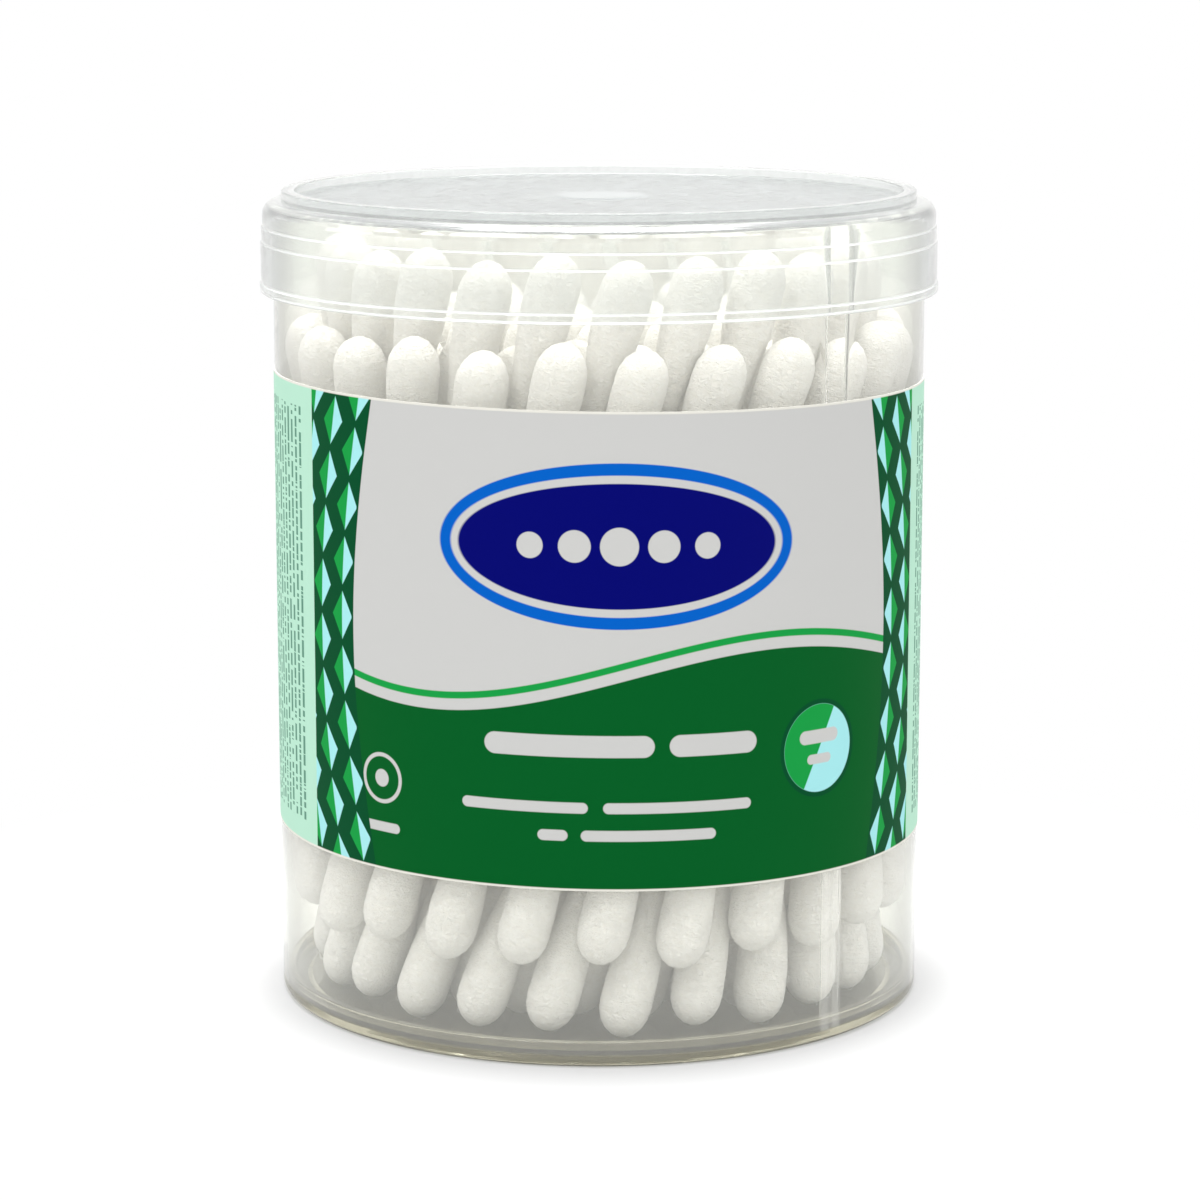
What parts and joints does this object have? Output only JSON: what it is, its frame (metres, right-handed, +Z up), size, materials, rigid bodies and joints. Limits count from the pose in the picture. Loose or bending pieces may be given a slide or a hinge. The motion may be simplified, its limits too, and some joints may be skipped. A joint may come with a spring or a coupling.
{
  "type": "cotton swab tub",
  "caption": "Clear round tub with a push-on lid and a wrap-round label, filled with a turned bundle of double-ended cotton swabs standing on end.",
  "frame": {"origin": "centre of the foot, on the surface that the tub stands on", "axes": "+Z up along the tub's axis, -Y towards the front of the label, +X to the right of the front"},
  "size_m": [0.0708, 0.0708, 0.0848],
  "materials": {
    "clear_sheet": "clear rolled sheet, glossy",
    "clear_base": "clear moulding, satin",
    "clear_lid": "clear moulding, slightly milky",
    "label_print": "printed satin label in green, white, mint and navy",
    "stick": "rolled white paper",
    "cotton": "wound white cotton, fine fibres"
  },
  "bodies": {
    "tub": {"tub_wall": "clear_sheet", "tub_base": "clear_base", "label": "label_print", "sticks_outer": "stick", "tips_outer": "cotton", "sticks_raised": "stick", "tips_raised": "cotton", "sticks_crossing": "stick", "tips_crossing": "cotton", "sticks_inner": "stick", "tips_inner": "cotton", "sticks_core": "stick", "tips_core": "cotton", "sticks_centre": "stick", "tips_centre": "cotton"},
    "lid": {"lid": "clear_lid"}
  },
  "joints": [
    {"name": "lid_lift", "type": "slide", "parent": "tub", "child": "lid", "axis": [0, 0, 1], "range_m": [0, 0.04]}
  ]
}
